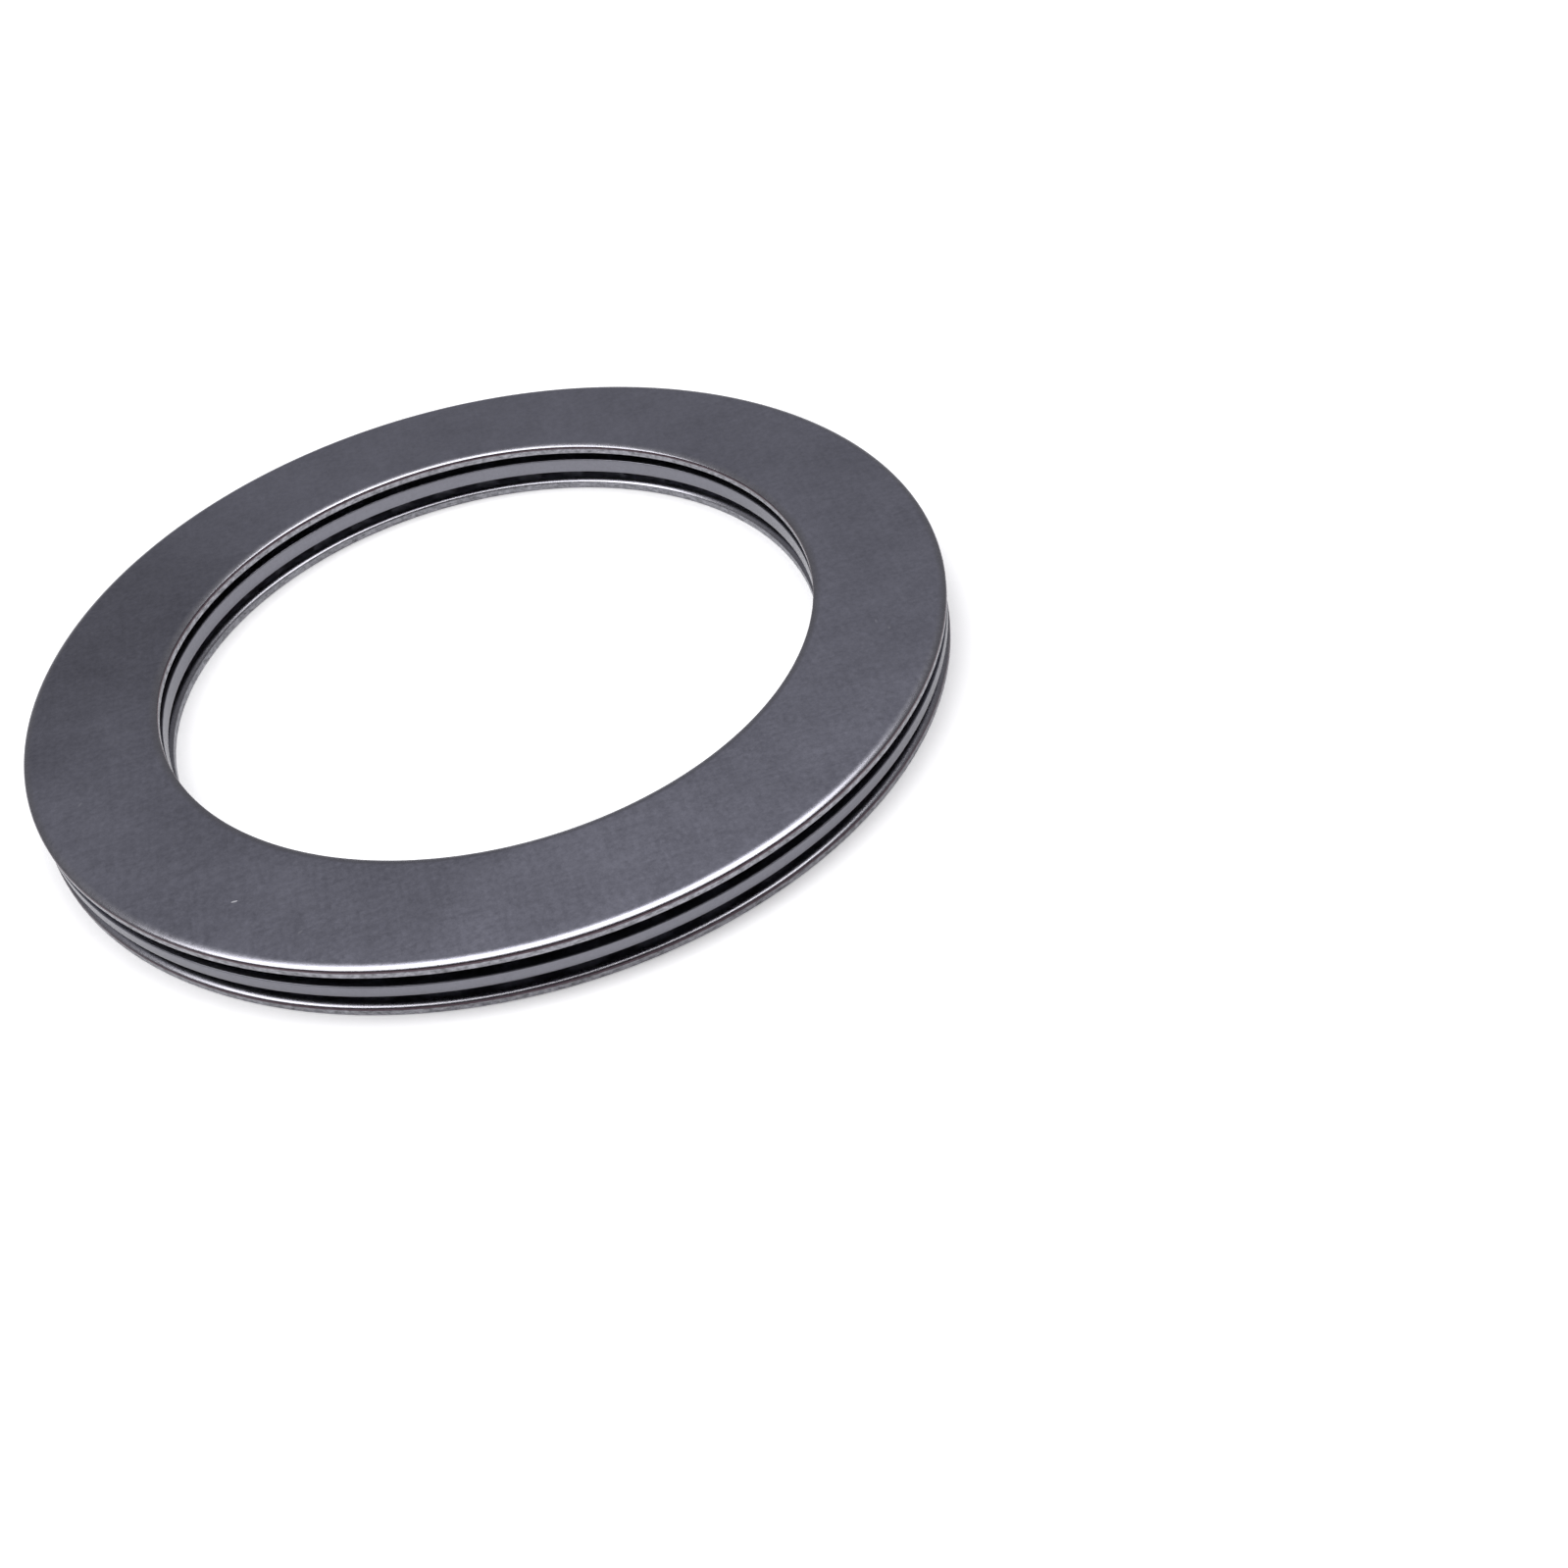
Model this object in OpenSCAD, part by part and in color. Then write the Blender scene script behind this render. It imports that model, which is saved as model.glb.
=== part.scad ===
// Axial needle roller bearing: two thin raceway washers, a pressed sheet cage
// and one ring of radial needle rollers. The bearing's axis is +Z and the
// lower washer rests on z = 0. Lengths are in millimetres.

/* [Washers] */
// Bore diameter of both washers
bore_d = 60.6; // [60:0.1:60.8]
// Outer diameter of both washers
outer_d = 84.6; // [84.2:0.1:85]
// Thickness of one washer
washer_t = 1; // [0.9:0.05:1.2]
// Radius of the rolled-over edges on a washer's upper face
edge_roll = 0.3; // [0.2:0.05:0.45]
// Radius of the tumbled edges on a washer's lower face
edge_break = 0.12; // [0.05:0.01:0.2]

/* [Needle rollers] */
// Roller diameter
roller_d = 3; // [2.8:0.05:3.2]
// Roller length
roller_l = 7.8; // [7:0.1:8]
// Number of rollers
roller_count = 44; // [30:1:45]
// Diameter of the circle through the rollers' middles
pitch_d = 72.5; // [72:0.1:73]
// Radius of the rounded rim at each roller end
roller_round = 0.25; // [0.1:0.05:0.4]
// Clearance between a roller and each raceway
race_gap = 0.1; // [0.02:0.01:0.12]

/* [Cage] */
// Thickness of the cage's sheet
sheet_t = 0.6; // [0.5:0.05:0.6]
// Height of the upright rim at the outside
outer_rim_h = 1.1; // [1:0.05:1.3]
// Height of the upright rim at the bore
inner_rim_h = 1.45; // [1.4:0.05:1.7]
// How far the middle of the bore's rim stands above the roller axes
inner_rim_lift = 0.1; // [0:0.05:0.15]
// How far the cage's outer rim stands inside the washers' edge
outer_inset = 0.1; // [0:0.05:0.2]
// How far the cage's inner rim stands outside the washers' bore
inner_inset = 0.05; // [0:0.05:0.2]
// Depth of the trough's centre line below the roller axes
trough_drop = 0.85; // [0.75:0.05:0.95]
// Radial clearance between a roller and its pocket
pocket_gap = 0.06; // [0.04:0.01:0.08]
// Clearance between a roller's end and its pocket's end
pocket_end_gap = 0.1; // [0.05:0.01:0.15]

/* [Hidden] */
$fn = 128;
bore_r = bore_d / 2;
outer_r = outer_d / 2;
pitch_r = pitch_d / 2;
roller_r = roller_d / 2;
roller_in_r = pitch_r - roller_l / 2;
roller_out_r = pitch_r + roller_l / 2;
axis_z = washer_t + race_gap + roller_r;
upper_z = axis_z + roller_r + race_gap;

// the cage sheet's centre line, from the outer rim's lower edge to the inner one's
half_t = sheet_t / 2;
rim_out_r = outer_r - outer_inset - half_t;
rim_in_r = bore_r + inner_inset + half_t;
flange_out_z = outer_rim_h / 2 - half_t;
flange_in_z = inner_rim_lift + inner_rim_h / 2 - half_t;
slope_run = 1.2;
lap = 0.25;
cage_path = [
    [rim_out_r, -outer_rim_h / 2],
    [rim_out_r, flange_out_z],
    [roller_out_r - lap, flange_out_z],
    [roller_out_r - lap - slope_run, -trough_drop],
    [roller_in_r + lap + slope_run, -trough_drop],
    [roller_in_r + lap, flange_in_z],
    [rim_in_r, flange_in_z],
    [rim_in_r, inner_rim_lift - inner_rim_h / 2],
];

function two_digits(i) = str(i < 10 ? "0" : "", i);
function roller_name(i) = str("roller_", two_digits(i));

// half of a rounded rectangle's rim: a strip from r0 to r1 with its two
// upper corners rounded by a and its two lower corners by b
module washer_section(r0, r1, h, a, b) {
    translate([r0, b])
        square([r1 - r0, h - a - b]);
    translate([r0 + a, h / 2])
        square([r1 - r0 - 2 * a, h / 2]);
    translate([r0 + b, 0])
        square([r1 - r0 - 2 * b, h / 2]);
    for (r = [r0 + a, r1 - a])
        translate([r, h - a])
            circle(r = a);
    for (r = [r0 + b, r1 - b])
        translate([r, b])
            circle(r = b);
}

module washer() {
    rotate_extrude()
        washer_section(bore_r, outer_r, washer_t, edge_roll, edge_break);
}

// the sheet's outline: its centre line moved sideways by half its thickness,
// first along one side and then back along the other, with mitred bends
function unit(v) = v / norm(v);
function left_of(v) = [-v[1], v[0]];
function run_normal(path, i) = left_of(unit(path[i + 1] - path[i]));
function mitre(a, b) = (a + b) / (1 + a * b);
function side_step(path, i) =
    i == 0 ? run_normal(path, 0)
    : i == len(path) - 1 ? run_normal(path, i - 1)
    : mitre(run_normal(path, i - 1), run_normal(path, i));
function side(path, d) = [for (i = [0:len(path) - 1]) path[i] + d * side_step(path, i)];
function back(list) = [for (i = [len(list) - 1:-1:0]) list[i]];

module cage_section() {
    polygon(concat(side(cage_path, half_t), back(side(cage_path, -half_t))));
}

module pocket(i) {
    rotate([0, 0, 360 * i / roller_count])
        translate([roller_in_r - pocket_end_gap, 0, 0])
            rotate([0, 90, 0])
                cylinder(h = roller_l + 2 * pocket_end_gap, r = roller_r + pocket_gap);
}

module roller_section() {
    square([roller_r - roller_round, roller_l]);
    translate([0, roller_round])
        square([roller_r, roller_l - 2 * roller_round]);
    for (z = [roller_round, roller_l - roller_round])
        translate([roller_r - roller_round, z])
            circle(r = roller_round);
}

module housing_washer() {
    color("slategray")
        washer();
}

module shaft_washer() {
    color("lightslategray")
        translate([0, 0, upper_z])
            washer();
}

module cage() {
    color("silver")
        translate([0, 0, axis_z])
            difference() {
                rotate_extrude()
                    cage_section();
                for (i = [1:roller_count])
                    pocket(i);
            }
}

module roller(i) {
    color("gainsboro")
        rotate([0, 0, 360 * i / roller_count])
            translate([roller_in_r, 0, axis_z])
                rotate([0, 90, 0])
                    rotate_extrude()
                        roller_section();
}

housing_washer();
shaft_washer();
cage();
for (i = [1:roller_count])
    roller(i);
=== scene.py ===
import math

import bmesh
import bpy
import numpy as np
from mathutils import Matrix, Vector, noise


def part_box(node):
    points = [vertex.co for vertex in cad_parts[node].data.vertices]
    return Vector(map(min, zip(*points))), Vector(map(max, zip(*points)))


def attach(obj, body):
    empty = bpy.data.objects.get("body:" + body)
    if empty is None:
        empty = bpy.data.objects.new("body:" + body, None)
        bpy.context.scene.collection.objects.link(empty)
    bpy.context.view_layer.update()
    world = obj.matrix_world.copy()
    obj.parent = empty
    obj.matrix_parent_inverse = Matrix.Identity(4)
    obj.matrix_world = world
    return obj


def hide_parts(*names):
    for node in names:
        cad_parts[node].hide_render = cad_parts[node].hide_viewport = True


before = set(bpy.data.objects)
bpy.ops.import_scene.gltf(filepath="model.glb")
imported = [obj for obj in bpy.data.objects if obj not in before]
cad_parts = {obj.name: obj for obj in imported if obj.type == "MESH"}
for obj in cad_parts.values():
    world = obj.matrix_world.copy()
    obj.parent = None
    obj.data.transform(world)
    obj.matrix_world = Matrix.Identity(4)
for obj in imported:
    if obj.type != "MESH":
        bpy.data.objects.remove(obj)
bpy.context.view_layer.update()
MM = 0.001
TAU = 2 * math.pi

# ---------------------------------------------------------------- sizes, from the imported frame


def radii(node):
    """Smallest and largest distance from the bearing's axis of a CAD node's vertices."""
    r = [math.hypot(v.co.x, v.co.y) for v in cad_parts[node].data.vertices]
    return min(r), max(r)


SHAFT_LOW, SHAFT_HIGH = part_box("shaft_washer")
HOUSING_LOW, HOUSING_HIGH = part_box("housing_washer")
CAGE_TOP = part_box("cage")[1].z
BORE_R, OUTER_R = radii("shaft_washer")
WASHER_T = HOUSING_HIGH.z - HOUSING_LOW.z
STACK_H = SHAFT_HIGH.z
ROLLERS = sorted(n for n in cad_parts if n.startswith("roller_"))
ROLLER_COUNT = len(ROLLERS)
ROLLER_LOW, ROLLER_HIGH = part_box(ROLLERS[-1])
ROLLER_IN, ROLLER_OUT = ROLLER_LOW.x, ROLLER_HIGH.x
ROLLER_R = (ROLLER_HIGH.z - ROLLER_LOW.z) / 2
AXIS_Z = (ROLLER_HIGH.z + ROLLER_LOW.z) / 2
CAGE_IN_R, CAGE_OUT_R = radii("cage")

# ---------------------------------------------------------------- mesh helpers


def arc(cx, cz, rx, rz, a0, a1, n):
    """Points on an ellipse's arc, in the (radius, height) half plane."""
    steps = [math.radians(a0 + (a1 - a0) * i / n) for i in range(n + 1)]
    return [(cx + rx * math.cos(a), cz + rz * math.sin(a)) for a in steps]


def add_object(name, data):
    obj = bpy.data.objects.new(name, data)
    bpy.context.scene.collection.objects.link(obj)
    return obj


def shade_smooth(mesh, sharp_deg):
    """Smooth shading, with edges kept sharp where the faces turn by more than sharp_deg."""
    mesh.polygons.foreach_set("use_smooth", [True] * len(mesh.polygons))
    mesh.set_sharp_from_angle(angle=math.radians(sharp_deg))


def finished_mesh(name, bm, sharp_deg):
    """The bmesh as a smooth mesh with its faces turned outward; the bmesh is freed."""
    bmesh.ops.recalc_face_normals(bm, faces=bm.faces)
    mesh = bpy.data.meshes.new(name)
    bm.to_mesh(mesh)
    bm.free()
    shade_smooth(mesh, sharp_deg)
    return mesh


def lathe_faces(rings, segments):
    """Quads round a closed loop of points: vertex i * rings + k is loop point k at step i."""
    faces = []
    for i in range(segments):
        a, b = i * rings, ((i + 1) % segments) * rings
        for k in range(rings):
            m = (k + 1) % rings
            faces.append((a + k, b + k, b + m, a + m))
    return faces


def point_attribute(obj, name, values):
    attribute = obj.data.attributes.new(name, "FLOAT", "POINT")
    attribute.data.foreach_set("value", np.asarray(values, np.float32))


# ---------------------------------------------------------------- washers

SEGMENTS = 1440
WASHER_SHARP = 60
CROWN_R = 1.5 * MM  # upper edge: a wide crown that leaves the face gently
CROWN_END = 63  # the crown stops where its normal points this many degrees up
CORNER_R = 0.2 * MM  # then a small corner down to the wall
WORN_R = 1.1 * MM  # the lower washer's bore has a tighter crown, which runs further round
WORN_END = 50
PAINTED_REFLECTION_TOP = 0.23 * MM  # a painted dark reflection runs below the crown, between these depths
PAINTED_REFLECTION_END = 0.44 * MM
PAINTED_REFLECTION_MIN_WALL = 0.4  # and only where the wall's share is more than this
BREAK_R = 0.12 * MM  # tumbled lower edge
CROWN_STEPS = 10
CORNER_STEPS = 4
BREAK_STEPS = 4
FACE_STEPS = 7
WALL_STEPS = 7

# the sheared wall: where it turns rough, and how far that line wanders and fades, as shares of
# the thickness
FRACTURE_TOP = 0.62
FRACTURE_WANDER = 0.12
FRACTURE_FADE = 0.08
FRACTURE_DEPTH = 0.012  # depths in millimetres
PIT_DEPTH = 0.022
STREAK_DEPTH = 0.004
WANDER_SCALE = 0.35  # noise scales, per millimetre
PIT_SCALE = 2.6
STREAK_SCALE = 3.2

# painted shade on the washers' faces, standing in for darker reflections of the room on some sides:
# middle and spread in degrees round the axis, and how much darker
PAINTED_SHADE_SIDES = [(152, 24, 0.30), (182, 30, 0.10), (238, 28, 0.10)]


def upper_edge(crown_r, crown_end):
    """The rolled-over upper edge, face first.

    The rows are (inset from the wall, drop below the face, wall, roll)."""
    end = math.radians(crown_end)
    corner_in = CORNER_R * (1 - math.cos(end))
    width = crown_r * math.cos(end) + corner_in
    rows = []
    for i in range(CROWN_STEPS + 1):
        a = math.pi / 2 + (end - math.pi / 2) * i / CROWN_STEPS
        share = i / CROWN_STEPS
        rows.append((width - crown_r * math.cos(a), crown_r * (1 - math.sin(a)), 0, share))
    foot = rows[-1][1] + CORNER_R * math.sin(end)
    for i in range(1, CORNER_STEPS + 1):
        a = end * (1 - i / CORNER_STEPS)
        share = i / CORNER_STEPS
        rows.append((CORNER_R * (1 - math.cos(a)), foot - CORNER_R * math.sin(a), share, 1 - share))
    return rows


def washer_loop(worn):
    """The washer's section, anticlockwise from the bore's lower edge.

    The rows are (radius, height, wall, roll). wall is 1 on the punched wall, and roll rises to 1 on
    the rolled-over edge; both are 0 on the faces. The bore's edge is rounder if worn is set."""
    t = WASHER_T
    edge = upper_edge(CROWN_R, CROWN_END)
    roll_in, roll_drop = edge[0][0], edge[-1][1]
    bore_edge = upper_edge(WORN_R, WORN_END) if worn else edge
    bore_in, bore_drop = bore_edge[0][0], bore_edge[-1][1]
    rows = []
    for i in range(FACE_STEPS + 1):
        r = BORE_R + BREAK_R + (OUTER_R - BORE_R - 2 * BREAK_R) * i / FACE_STEPS
        rows.append((r, 0, 0, 0))
    for r, z in arc(OUTER_R - BREAK_R, BREAK_R, BREAK_R, BREAK_R, -90, 0, BREAK_STEPS)[1:]:
        rows.append((r, z, (r - OUTER_R + BREAK_R) / BREAK_R, 0))
    for i in range(1, WALL_STEPS):
        z = BREAK_R + (t - roll_drop - BREAK_R) * i / WALL_STEPS
        rows.append((OUTER_R, z, 1, 0))
    rows += [(OUTER_R - x, t - drop, w, e) for x, drop, w, e in reversed(edge)]
    for i in range(1, FACE_STEPS):
        r = OUTER_R - roll_in + (BORE_R - OUTER_R + bore_in + roll_in) * i / FACE_STEPS
        rows.append((r, t, 0, 0))
    rows += [(BORE_R + x, t - drop, w, e) for x, drop, w, e in bore_edge]
    for i in range(WALL_STEPS - 1, 0, -1):
        z = BREAK_R + (t - bore_drop - BREAK_R) * i / WALL_STEPS
        rows.append((BORE_R, z, 1, 0))
    for r, z in arc(BORE_R + BREAK_R, BREAK_R, BREAK_R, BREAK_R, 180, 270, BREAK_STEPS)[:-1]:
        rows.append((r, z, (BORE_R + BREAK_R - r) / BREAK_R, 0))
    return rows


def painted_side_shade(angle):
    """How bright the face's colour is painted at an angle round the washer, in degrees: painted
    shade on the sides that reflect a darker room.
    """
    shade = 1
    for middle, spread, depth in PAINTED_SHADE_SIDES:
        away = (angle - middle + 180) % 360 - 180
        shade -= depth * math.exp(-((away / spread) ** 2))
    return shade


def wall_wear(at, z, wall, seed):
    """How far the sheared wall lies inside the smooth one at a point (at, in millimetres)."""
    line = FRACTURE_TOP + FRACTURE_WANDER * noise.noise(at * WANDER_SCALE + Vector((0, 0, seed)))
    rough = min(1, max(0, (line - z / WASHER_T) / FRACTURE_FADE)) * wall
    pits = 0.5 + 0.5 * noise.noise(at * PIT_SCALE)
    streaks = 0.5 + 0.5 * noise.noise(Vector((at.x * STREAK_SCALE, at.y * STREAK_SCALE, seed)))
    return MM * (rough * (FRACTURE_DEPTH + PIT_DEPTH * pits) + STREAK_DEPTH * wall * streaks)


def washer(name, z0, seed, worn):
    """A punched, hardened and tumbled ring, its lower wall left rough and uneven by the shearing.

    A painted dark reflection runs below the crown, standing in for a person in front, but not in a
    worn bore."""
    rows = washer_loop(worn)
    mid_r = (BORE_R + OUTER_R) / 2
    verts, wall, roll, tone, painted_reflection = [], [], [], [], []
    for i in range(SEGMENTS):
        a = TAU * i / SEGMENTS
        c, s = math.cos(a), math.sin(a)
        # painted shade: some sides of the face are painted darker, standing in for darker
        # reflections; the tone attribute carries it
        shade = painted_side_shade(math.degrees(a))
        for r, z, w, e in rows:
            if w > 0:
                outward = 1 if r > mid_r else -1
                at = Vector((c * r, s * r, z + seed * MM)) / MM
                r -= outward * wall_wear(at, z, w, seed)
            verts.append((r * c, r * s, z0 + z))
            wall.append(w)
            roll.append(e)
            tone.append(shade)
            # the painted dark reflection below the crown, left out of a worn bore
            lined = r > mid_r or not worn
            deep = PAINTED_REFLECTION_TOP < WASHER_T - z < PAINTED_REFLECTION_END
            painted_reflection.append(1 if lined and deep and w > PAINTED_REFLECTION_MIN_WALL else 0)
    mesh = bpy.data.meshes.new(name)
    mesh.from_pydata(verts, [], lathe_faces(len(rows), SEGMENTS))
    mesh.validate()
    shade_smooth(mesh, WASHER_SHARP)
    mesh.update()
    obj = add_object(name, mesh)
    point_attribute(obj, "wall", wall)
    point_attribute(obj, "roll", roll)
    point_attribute(obj, "tone", tone)
    point_attribute(obj, "painted_reflection", painted_reflection)
    return obj


# ---------------------------------------------------------------- needle rollers

ROLLER_SEGMENTS = 64
ROLLER_SHARP = 40
ROLLER_ROUND = 0.25 * MM
ROUND_STEPS = 6
ROLLER_DISH = 0.015 * MM  # the ends are a little hollow
ROLLER_RELIEF = 0.003 * MM  # and the roller is a little thinner toward them
RELIEF_MOSTLY_GONE = 0.8 * MM
RELIEF_GONE = 1.5 * MM


def roller_rows():
    """(distance from an end, radius) along half a roller, from its end's centre to its middle."""
    rows = [
        (ROLLER_DISH, 0),
        (ROLLER_DISH * 0.9, 0.4 * ROLLER_R),
        (ROLLER_DISH * 0.4, 0.7 * ROLLER_R),
    ]
    rim = ROLLER_R - ROLLER_RELIEF - ROLLER_ROUND
    rows += arc(ROLLER_ROUND, rim, ROLLER_ROUND, ROLLER_ROUND, 180, 90, ROUND_STEPS)
    rows.append((RELIEF_MOSTLY_GONE, ROLLER_R - ROLLER_RELIEF * 0.3))
    rows.append((RELIEF_GONE, ROLLER_R))
    return rows


def roller_mesh():
    half = roller_rows()
    rows = [(ROLLER_IN + x, r) for x, r in half]
    rows += [(ROLLER_OUT - x, r) for x, r in reversed(half)]
    bm = bmesh.new()
    rings = []
    for x, r in rows:
        turns = [TAU * k / ROLLER_SEGMENTS for k in range(ROLLER_SEGMENTS)]
        rings.append([bm.verts.new((x, r * math.cos(a), r * math.sin(a))) for a in turns])
    for a, b in zip(rings, rings[1:]):
        for k in range(ROLLER_SEGMENTS):
            m = (k + 1) % ROLLER_SEGMENTS
            bm.faces.new((a[k], a[m], b[m], b[k]))
    bmesh.ops.remove_doubles(bm, verts=bm.verts, dist=1e-8)  # closes the ends at their centres
    return finished_mesh("roller", bm, ROLLER_SHARP)


# ---------------------------------------------------------------- pressed cage

SHEET_T = 0.6 * MM
HALF_T = SHEET_T / 2
OUTER_RIM_H = 1.1 * MM
INNER_RIM_H = 1.45 * MM
INNER_RIM_TOP = CAGE_TOP - AXIS_Z
TROUGH_Z = -0.85 * MM
SLOPE_RUN = 1.2 * MM
LAP = 0.25 * MM
POCKET_GAP = 0.06 * MM
POCKET_END_GAP = 0.1 * MM
POCKET_R = ROLLER_R + POCKET_GAP
POCKET_IN = ROLLER_IN - POCKET_END_GAP
POCKET_OUT = ROLLER_OUT + POCKET_END_GAP
CAGE_PATH = [  # the sheet's centre line, (radius, height above the roller axes)
    (CAGE_OUT_R - HALF_T, -OUTER_RIM_H / 2),
    (CAGE_OUT_R - HALF_T, OUTER_RIM_H / 2 - HALF_T),
    (ROLLER_OUT - LAP, OUTER_RIM_H / 2 - HALF_T),
    (ROLLER_OUT - LAP - SLOPE_RUN, TROUGH_Z),
    (ROLLER_IN + LAP + SLOPE_RUN, TROUGH_Z),
    (ROLLER_IN + LAP, INNER_RIM_TOP - HALF_T),
    (CAGE_IN_R + HALF_T, INNER_RIM_TOP - HALF_T),
    (CAGE_IN_R + HALF_T, INNER_RIM_TOP - INNER_RIM_H),
]
UPPER_BENDS = [0.1, 0.6, 0.2, 0.2, 0.45, 0.1]  # bend radii on the sheet's upper side, mm
UNDER_BENDS = [0.1, 0.2, 0.6, 0.6, 0.2, 0.1]  # and on its underside
BEND_STEPS = 4
RIM_STEPS = 3
WEB_STEPS = 5
OUTER_FLANGE, INNER_FLANGE = 1, 5  # places in CAGE_PATH where a flange starts
EDGE_ROUND = 0.07 * MM
BAR_COLUMNS = 3
POCKET_COLUMNS = 3
SHEET_STEPS = 3
CAGE_SHARP = 38


def offset_path(path, d):
    """The path moved sideways by d, to the left of its direction, with mitred corners."""
    pts = [Vector(p) for p in path]
    normals = []
    for a, b in zip(pts, pts[1:]):
        run = (b - a).normalized()
        normals.append(Vector((-run.y, run.x)))
    out = [pts[0] + normals[0] * d]
    for i in range(1, len(pts) - 1):
        m, n = normals[i - 1], normals[i]
        out.append(pts[i] + (m + n) / (1 + m.dot(n)) * d)
    out.append(pts[-1] + normals[-1] * d)
    return out


def rounded_side(corners, bends):
    """One side of the sheet, its bends made into arcs and its straight runs divided evenly.

    The flanges have a point where the pockets end."""
    arcs = []
    for i, bend in enumerate(bends, 1):
        p, q, s = corners[i - 1], corners[i], corners[i + 1]
        u, v = (p - q).normalized(), (s - q).normalized()
        half = u.angle(v) / 2
        reach = bend * MM / math.tan(half)
        centre = q + (u + v).normalized() * bend * MM / math.sin(half)
        a, b = q + u * reach - centre, q + v * reach - centre
        turn = a.angle_signed(b)
        arcs.append([
            centre + Matrix.Rotation(-turn * k / BEND_STEPS, 2) @ a for k in range(BEND_STEPS + 1)
        ])
    side = [corners[0]]
    stops = {OUTER_FLANGE: POCKET_OUT, INNER_FLANGE: POCKET_IN}
    for i in range(len(arcs) + 1):
        start = arcs[i - 1][-1] if i else corners[0]
        stop = arcs[i][0] if i < len(arcs) else corners[-1]
        if i in stops:
            share = (stops[i] - start.x) / (stop.x - start.x)
            side += [start.lerp(stop, share / 2), start.lerp(stop, share)]
        else:
            steps = WEB_STEPS if OUTER_FLANGE < i < INNER_FLANGE else RIM_STEPS
            side += [start.lerp(stop, k / steps) for k in range(1, steps)]
        if i < len(arcs):
            side += arcs[i]
    side.append(corners[-1])
    return side


def rounded_end(p, q, along):
    """The sheet's cut edge from p to q: (new end of p's side, points across, new end of q's)."""
    across = (q - p).normalized()
    e = EDGE_ROUND
    soft = e * (1 - math.sqrt(0.5))
    return (
        p + along * e,
        [
            p + (across + along) * soft,
            p + across * e,
            q - across * e,
            q + (along - across) * soft,
        ],
        q + along * e,
    )


def pocket_angle(r, z):
    """Half the angle that a pocket takes at a point of the sheet."""
    width = math.sqrt(max(0, POCKET_R**2 - z**2))
    return math.asin(width / r)


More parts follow.
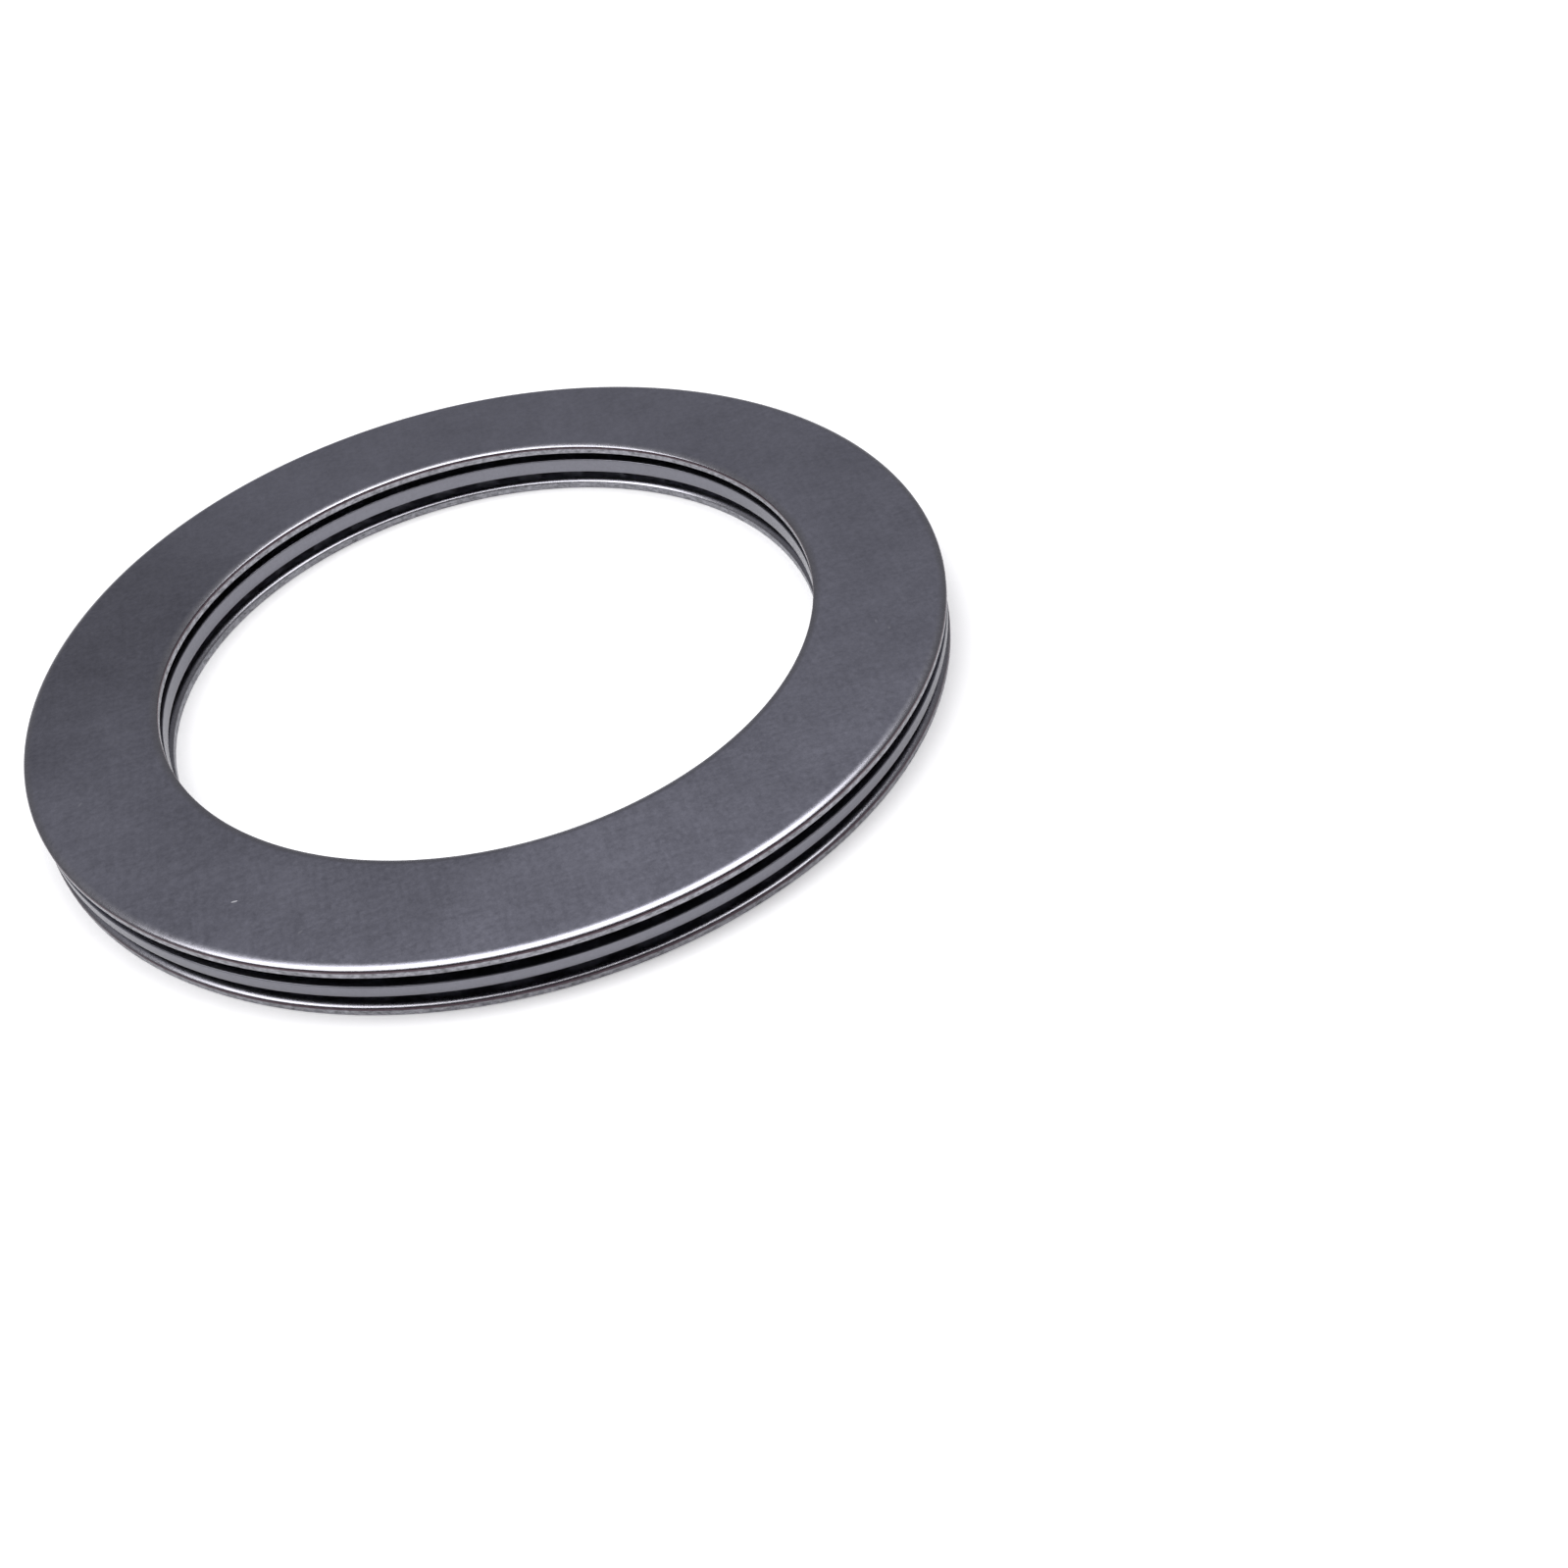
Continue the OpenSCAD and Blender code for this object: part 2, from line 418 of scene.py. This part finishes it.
def cage(name):
    """The pressed sheet with a pocket for each roller.

    Its mesh is a grid of stations along the section by columns round the axis."""
    upper = rounded_side(offset_path(CAGE_PATH, -HALF_T), UPPER_BENDS)
    under = rounded_side(offset_path(CAGE_PATH, HALF_T), UNDER_BENDS)
    first, cap_a, upper_0 = rounded_end(under[0], upper[0], Vector((0, 1)))
    under[0], upper[0] = first, upper_0
    last, cap_b, under_n = rounded_end(upper[-1], under[-1], Vector((0, 1)))
    upper[-1], under[-1] = last, under_n
    count = len(upper)
    start = min(range(count), key=lambda i: abs(upper[i].x - POCKET_OUT))
    stop = min(range(count), key=lambda i: abs(upper[i].x - POCKET_IN))
    per_half = BAR_COLUMNS + POCKET_COLUMNS
    columns = 2 * per_half * ROLLER_COUNT
    half_turn = math.pi / ROLLER_COUNT
    bm = bmesh.new()
    cache = {}

    def column(g, alpha):
        """The angle of column g, where a pocket's half angle is alpha."""
        sector, c = divmod(g, 2 * per_half)
        c -= per_half
        if abs(c) <= POCKET_COLUMNS:
            local = alpha * abs(c) / POCKET_COLUMNS
        else:
            local = alpha + (half_turn - alpha) * (abs(c) - POCKET_COLUMNS) / BAR_COLUMNS
        return 2 * half_turn * (sector + 1) + math.copysign(local, c)

    def vertex(key, point, g, station):
        """The vertex of a point of the section at column g, made when it is first asked for."""
        g %= columns
        if (key, g) not in cache:
            inside = start <= station <= stop
            near = min(max(station, start), stop)
            line = upper[near] if key[0] != "under" else under[near]
            alpha = pocket_angle(point.x, point.y) if inside else pocket_angle(line.x, line.y)
            angle = column(g, alpha)
            r = point.x
            if station in (start, stop):
                c = abs(g % (2 * per_half) - per_half)
                local = min(alpha, alpha * c / POCKET_COLUMNS)
                r = point.x / math.cos(local)
            cache[key, g] = bm.verts.new((
                r * math.cos(angle), r * math.sin(angle), AXIS_Z + point.y
            ))
        return cache[key, g]

    def in_bar(g):
        """Whether the strip after column g lies between two pockets."""
        c = g % (2 * per_half) - per_half
        return c >= POCKET_COLUMNS or c < -POCKET_COLUMNS

    def quad(*corners):
        bm.faces.new(corners)

    for side, line in (("upper", upper), ("under", under)):
        for j in range(count - 1):
            for g in range(columns):
                if start <= j < stop and not in_bar(g):
                    continue
                quad(
                    vertex((side, j), line[j], g, j),
                    vertex((side, j), line[j], g + 1, j),
                    vertex((side, j + 1), line[j + 1], g + 1, j + 1),
                    vertex((side, j + 1), line[j + 1], g, j + 1),
                )
    for end, station, rows in (
        ("a", 0, [under[0], *cap_a, upper[0]]),
        ("b", count - 1, [under[-1], *reversed(cap_b), upper[-1]]),
    ):
        keys = [("under", station)]
        keys += [(end, k) for k in range(1, len(rows) - 1)]
        keys += [("upper", station)]
        for k in range(len(rows) - 1):
            for g in range(columns):
                quad(
                    vertex(keys[k], rows[k], g, station),
                    vertex(keys[k], rows[k], g + 1, station),
                    vertex(keys[k + 1], rows[k + 1], g + 1, station),
                    vertex(keys[k + 1], rows[k + 1], g, station),
                )

    def through(j, w):
        """Key and place of a point of a pocket's wall, w steps from the underside at station j."""
        if w == 0:
            return ("under", j), under[j]
        if w == SHEET_STEPS:
            return ("upper", j), upper[j]
        return ("wall", j, w), under[j].lerp(upper[j], w / SHEET_STEPS)

    for sector in range(ROLLER_COUNT):
        middle = sector * 2 * per_half + per_half
        for g in (middle - POCKET_COLUMNS, middle + POCKET_COLUMNS):
            for j in range(start, stop):
                for w in range(SHEET_STEPS):
                    corners = [(j, w), (j + 1, w), (j + 1, w + 1), (j, w + 1)]
                    quad(*(vertex(*through(a, b), g, a) for a, b in corners))
        for j in (start, stop):
            for g in range(middle - POCKET_COLUMNS, middle + POCKET_COLUMNS):
                for w in range(SHEET_STEPS):
                    corners = [(g, w), (g + 1, w), (g + 1, w + 1), (g, w + 1)]
                    quad(*(vertex(*through(j, b), a, j) for a, b in corners))
    return add_object(name, finished_mesh(name, bm, CAGE_SHARP))


# ---------------------------------------------------------------- materials


FACE_COLOUR = (0.267, 0.267, 0.322)
WALL_COLOUR = (0.28, 0.28, 0.304)
ROLLED_COLOUR = (0.272, 0.268, 0.292)
# painted reflection: the dark line below the crown stands in for a person in front reflected in the
# edge
PAINTED_REFLECTION_COLOUR = (0.06, 0.03, 0.04, 1.0)
PAINTED_REFLECTION_STRENGTH = 0.85
MARK_COLOUR = (0.95, 0.95, 1.0, 1.0)
MARK_DEPTH = 0.4  # a mark reaches this far through the face, in millimetres, half of it below
MARK_HARDNESS = 2.5
CAGE_COLOUR = (0.180, 0.180, 0.204)
ROLLER_COLOUR = (0.55, 0.55, 0.56)
PAPER_COLOUR = (0.85, 0.85, 0.86)
PAPER_GLOW = 0.3
WASHER_BUMP = 2.5e-6  # bump depths in metres
CAGE_BUMP = 3e-6
ROLLER_BUMP = 6e-7


class Graph:
    """Short names for building one material's node tree."""

    def __init__(self, name):
        self.material = bpy.data.materials.new(name)
        self.material.use_nodes = True
        self.tree = self.material.node_tree
        self.shader = self.tree.nodes["Principled BSDF"]

    def add(self, kind, inputs=(), **settings):
        node = self.tree.nodes.new("ShaderNode" + kind)
        for key, value in settings.items():
            setattr(node, key, value)
        for key, value in dict(inputs).items():
            self.put(node.inputs[key], value)
        return node

    def put(self, socket, value):
        if isinstance(value, bpy.types.NodeSocket):
            self.tree.links.new(value, socket)
        else:
            socket.default_value = value

    def math(self, operation, a, b=0.0, c=0.0, clamp=False):
        node = self.add("Math", {0: a, 1: b, 2: c}, operation=operation, use_clamp=clamp)
        return node.outputs[0]

    def noise(self, vector, scale, detail=2.0, roughness=0.5):
        values = {"Vector": vector, "Scale": scale, "Detail": detail, "Roughness": roughness}
        return self.add("TexNoise", values).outputs["Fac"]

    def attribute(self, name):
        return self.add("Attribute", attribute_name=name).outputs["Fac"]

    def millimetres(self):
        """The piece's own coordinates, in millimetres."""
        object_space = self.add("TexCoord").outputs["Object"]
        scaled = self.add("VectorMath", {0: object_space, "Scale": 1000.0}, operation="SCALE")
        return scaled.outputs["Vector"]

    def stretched(self, vector, x, y, z):
        node = self.add("VectorMath", {0: vector, 1: (x, y, z)}, operation="MULTIPLY")
        return node.outputs["Vector"]

    def weighed(self, start, *terms):
        """start plus each (pattern, weight), the pattern counted from its middle at 0.5."""
        total = start
        for pattern, weight in terms:
            away = self.math("SUBTRACT", pattern, 0.5)
            total = self.math("MULTIPLY_ADD", away, weight, total)
        return total

    def tinted(self, colour, brightness):
        """colour times brightness."""
        node = self.add("VectorMath", {0: colour, "Scale": brightness}, operation="SCALE")
        return node.outputs["Vector"]

    def blend(self, share, a, b):
        node = self.add("Mix", {0: share}, data_type="RGBA")
        self.put(node.inputs[6], a)
        self.put(node.inputs[7], b)
        return node.outputs[2]

    def bump(self, height, distance):
        node = self.add("Bump", {"Height": height, "Distance": distance, "Strength": 1.0})
        return node.outputs["Normal"]

    def mark(self, p, radius, angle, length, width, turn):
        """1 on a small mark on the upper face. Sizes are in millimetres and angles in degrees."""
        a, t = math.radians(angle), math.radians(turn)
        centre = (radius * math.cos(a), radius * math.sin(a), STACK_H / MM)
        away = self.add("VectorMath", {0: p, 1: centre}, operation="SUBTRACT").outputs["Vector"]
        total = -1.0
        for axis, size in (
            ((math.cos(t), math.sin(t), 0), length),
            ((-math.sin(t), math.cos(t), 0), width),
            ((0, 0, 1), MARK_DEPTH),
        ):
            scaled = tuple(2 * part / size for part in axis)
            dot = self.add("VectorMath", {0: away, 1: scaled}, operation="DOT_PRODUCT")
            share = dot.outputs["Value"]
            total = self.math("MULTIPLY_ADD", share, share, total)
        return self.math("MULTIPLY", total, -MARK_HARDNESS, clamp=True)


# small bright nicks: radius, angle, length, width and direction of each, and how strong it is
FACE_MARKS = [
    (37.0, 227.3, 0.6, 0.2, -5, 1.0),
    (38.3, 193.7, 0.6, 0.25, 60, 0.12),
    (38.7, 238.3, 0.5, 0.25, 30, 0.12),
    (36.3, 334.0, 0.5, 0.25, 80, 0.15),
    (37.6, 332.5, 0.4, 0.25, 80, 0.12),
]


def washer_steel():
    g = Graph("washer_steel")
    p = g.millimetres()
    wall, roll = g.attribute("wall"), g.attribute("roll")
    blotch = g.noise(p, 0.11, 3.0, 0.55)
    cloud = g.noise(p, 0.42, 3.0, 0.6)
    grain = g.noise(p, 2.4, 3.0, 0.75)
    streak = g.noise(g.stretched(p, 0.12, 2.4, 1.0), 1.0, 2.0)
    cross = g.noise(g.stretched(p, 2.6, 0.14, 1.0), 1.0, 2.0)
    mottle = g.noise(g.stretched(p, 1.7, 1.7, 3.4), 1.0, 3.0, 0.75)
    # the tone attribute is painted shade on some sides of the face; the noise terms are the steel's
    # own random tone
    face_tone = g.weighed(
        g.attribute("tone"),
        (blotch, 0.20),
        (cloud, 0.14),
        (grain, 0.45),
        (streak, 0.05),
        (cross, 0.05),
    )
    face = g.tinted(FACE_COLOUR, face_tone)
    wall_tone = g.weighed(0.95, (mottle, 2.6), (grain, 0.4))
    side = g.tinted(WALL_COLOUR, wall_tone)
    rolled = g.tinted(ROLLED_COLOUR, g.weighed(1.0, (grain, 0.2), (cloud, 0.2)))
    colour = g.blend(roll, g.blend(wall, face, side), rolled)
    # the painted dark reflection below the crown
    colour = g.blend(g.math("MULTIPLY", g.attribute("painted_reflection"), PAINTED_REFLECTION_STRENGTH), colour, PAINTED_REFLECTION_COLOUR)
    for radius, angle, length, width, turn, strength in FACE_MARKS:
        mark = g.math("MULTIPLY", g.mark(p, radius, angle, length, width, turn), strength)
        colour = g.blend(mark, colour, MARK_COLOUR)
    g.put(g.shader.inputs["Base Color"], colour)
    g.put(g.shader.inputs["Metallic"], 1.0)
    rough = g.weighed(0.32, (blotch, 0.08), (grain, 0.10), (cross, 0.04), (streak, 0.04))
    rough = g.math("MULTIPLY_ADD", roll, -0.07, rough)
    rough = g.math("MULTIPLY_ADD", wall, 0.10, rough, clamp=True)
    g.put(g.shader.inputs["Roughness"], rough)
    height = g.weighed(0.0, (grain, 1.0), (streak, 0.4), (cross, 0.4))
    height = g.math("MULTIPLY", height, g.math("MULTIPLY_ADD", roll, -0.6, 1.0))
    height = g.math("MULTIPLY_ADD", g.math("MULTIPLY", wall, mottle), 7.0, height)
    g.put(g.shader.inputs["Normal"], g.bump(height, WASHER_BUMP))
    return g.material


def cage_steel():
    g = Graph("cage_steel")
    p = g.millimetres()
    cloud = g.noise(p, 0.25, 3.0, 0.55)
    grain = g.noise(p, 2.8, 3.0, 0.75)
    rolled = g.noise(g.stretched(p, 0.4, 0.4, 9.0), 1.0, 2.0)
    tone = g.weighed(1.0, (cloud, 0.12), (grain, 0.35), (rolled, 0.08))
    g.put(g.shader.inputs["Base Color"], g.tinted(CAGE_COLOUR, tone))
    g.put(g.shader.inputs["Metallic"], 1.0)
    g.put(g.shader.inputs["Roughness"], g.weighed(0.30, (cloud, 0.05), (grain, 0.08)))
    height = g.weighed(0.0, (grain, 1.0), (rolled, 0.6))
    g.put(g.shader.inputs["Normal"], g.bump(height, CAGE_BUMP))
    return g.material


def roller_steel():
    g = Graph("roller_steel")
    p = g.millimetres()
    ground = g.noise(g.stretched(p, 26.0, 0.6, 0.6), 1.0, 2.0)
    cloud = g.noise(p, 1.2, 2.0)
    tone = g.weighed(1.0, (ground, 0.14), (cloud, 0.06))
    g.put(g.shader.inputs["Base Color"], g.tinted(ROLLER_COLOUR, tone))
    g.put(g.shader.inputs["Metallic"], 1.0)
    g.put(g.shader.inputs["Roughness"], g.weighed(0.17, (ground, 0.08), (cloud, 0.06)))
    g.put(g.shader.inputs["Normal"], g.bump(ground, ROLLER_BUMP))
    return g.material


def floor_paper():
    """White paper on a faintly lit table, which keeps the contact shadow light."""
    g = Graph("floor_paper")
    p = g.millimetres()
    fibre = g.noise(p, 0.9, 4.0, 0.6)
    white = g.tinted(PAPER_COLOUR, g.weighed(1.0, (fibre, 0.015)))
    g.put(g.shader.inputs["Base Color"], white)
    g.put(g.shader.inputs["Roughness"], 0.95)
    g.put(g.shader.inputs["Specular IOR Level"], 0.1)
    g.put(g.shader.inputs["Emission Color"], white)
    g.put(g.shader.inputs["Emission Strength"], PAPER_GLOW)
    return g.material


# ---------------------------------------------------------------- the bearing


def place(obj, node, material):
    """Gives a piece its material and hangs it on the CAD node that it replaces."""
    obj.data.materials.append(material)
    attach(obj, node)
    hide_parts(node)


steel = washer_steel()
lower_washer = washer("housing_raceway_washer", HOUSING_LOW.z, seed=3, worn=True)
place(lower_washer, "housing_washer", steel)
upper_washer = washer("shaft_raceway_washer", SHAFT_LOW.z, seed=11, worn=False)
place(upper_washer, "shaft_washer", steel)
place(cage("pressed_cage"), "cage", cage_steel())

needle = roller_mesh()  # all the rollers share it
needle.materials.append(roller_steel())
for node in ROLLERS:
    number = int(node.split("_")[1])
    roller = add_object(f"needle_{number:02d}", needle)
    roller.matrix_world = Matrix.Translation((0, 0, AXIS_Z)) @ Matrix.Rotation(
        TAU * number / ROLLER_COUNT, 4, "Z"
    )
    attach(roller, node)
    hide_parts(node)

# ---------------------------------------------------------------- floor, light and camera

FLOOR_SIZE = 30.0
FLOOR_GAP = 0.02 * MM  # keeps the floor's surface off the washer's
SKY_HORIZON = (0.5, 0.5, 0.51, 1)
SKY_ABOVE = (0.27, 0.27, 0.285, 1)
SKY_PERSON = (0.06, 0.046, 0.053, 1)
HORIZON_BAND = (0.0, 0.25)  # a direction's Z, from SKY_HORIZON to SKY_ABOVE
PERSON_SIDE = (-0.05, -0.4)  # its Y, from no SKY_PERSON to all of it, and its Z in the same way
PERSON_HEIGHT = (0.27, 0.42)

floor_mesh = bpy.data.meshes.new("floor")
h = FLOOR_SIZE / 2
floor_mesh.from_pydata([(-h, -h, 0), (h, -h, 0), (h, h, 0), (-h, h, 0)], [], [(0, 1, 2, 3)])
floor = add_object("floor", floor_mesh)
floor.location.z = HOUSING_LOW.z - FLOOR_GAP
floor_mesh.materials.append(floor_paper())

world = bpy.data.worlds.new("studio")
world.use_nodes = True
bpy.context.scene.world = world


def studio_sky():
    """Pale at the horizon, grey above it, and dark where a person stands behind the camera."""
    nodes, links = world.node_tree.nodes, world.node_tree.links
    direction = nodes.new("ShaderNodeTexCoord").outputs["Generated"]
    split = nodes.new("ShaderNodeSeparateXYZ")
    links.new(direction, split.inputs[0])

    def rise(axis, clear, full):
        """0 where the direction's axis is at clear, and 1 where it is at full."""
        share = nodes.new("ShaderNodeMapRange")
        share.interpolation_type = "SMOOTHSTEP"
        links.new(split.outputs[axis], share.inputs["Value"])
        share.inputs["From Min"].default_value = clear
        share.inputs["From Max"].default_value = full
        return share.outputs["Result"]

    def mixed(share, a, b):
        mix = nodes.new("ShaderNodeMix")
        mix.data_type = "RGBA"
        links.new(share, mix.inputs[0])
        for socket, colour in ((mix.inputs[6], a), (mix.inputs[7], b)):
            if isinstance(colour, tuple):
                socket.default_value = colour
            else:
                links.new(colour, socket)
        return mix.outputs[2]

    sky = mixed(rise("Z", *HORIZON_BAND), SKY_HORIZON, SKY_ABOVE)
    person = nodes.new("ShaderNodeMath")
    person.operation = "MULTIPLY"
    links.new(rise("Y", *PERSON_SIDE), person.inputs[0])
    links.new(rise("Z", *PERSON_HEIGHT), person.inputs[1])
    sky = mixed(person.outputs[0], sky, SKY_PERSON)
    links.new(sky, nodes["Background"].inputs["Color"])


studio_sky()


def softbox(name, corner, width, depth, radiance):
    """A flat light facing straight down, placed by its left front corner, with a given radiance."""
    light = bpy.data.lights.new(name, "AREA")
    light.shape = "RECTANGLE"
    light.size = width
    light.size_y = depth
    light.energy = radiance * math.pi * width * depth
    obj = add_object(name, light)
    obj.location = Vector(corner) + Vector((width / 2, depth / 2, 0))


softbox("overhead", corner=(-0.62, -0.115, 0.6), width=1.0, depth=0.34, radiance=5.3)

# the camera stands 4.09 outside radii from the upper face's centre, 34.5 degrees above it, on
# the -Y side
CAMERA_BACK = 3.3694 * OUTER_R
CAMERA_UP = 2.3179 * OUTER_R
CAMERA_HEADING = 9.841  # degrees to the right of +Y
CAMERA_PITCH = -41.383
CAMERA_ROLL = -10.43
CAMERA_LENS = 42.639

camera_data = bpy.data.cameras.new("camera")
camera_data.lens = CAMERA_LENS
camera_data.sensor_width = 36
camera_data.clip_start = 0.005
camera = add_object("camera", camera_data)
camera.matrix_world = (
    Matrix.Translation((0, -CAMERA_BACK, STACK_H + CAMERA_UP))
    @ Matrix.Rotation(math.radians(-CAMERA_HEADING), 4, "Z")
    @ Matrix.Rotation(math.radians(90 + CAMERA_PITCH), 4, "X")
    @ Matrix.Rotation(math.radians(CAMERA_ROLL), 4, "Z")
)
bpy.context.scene.camera = camera
bpy.context.scene.view_settings.view_transform = "Standard"
bpy.context.scene.view_settings.look = "None"
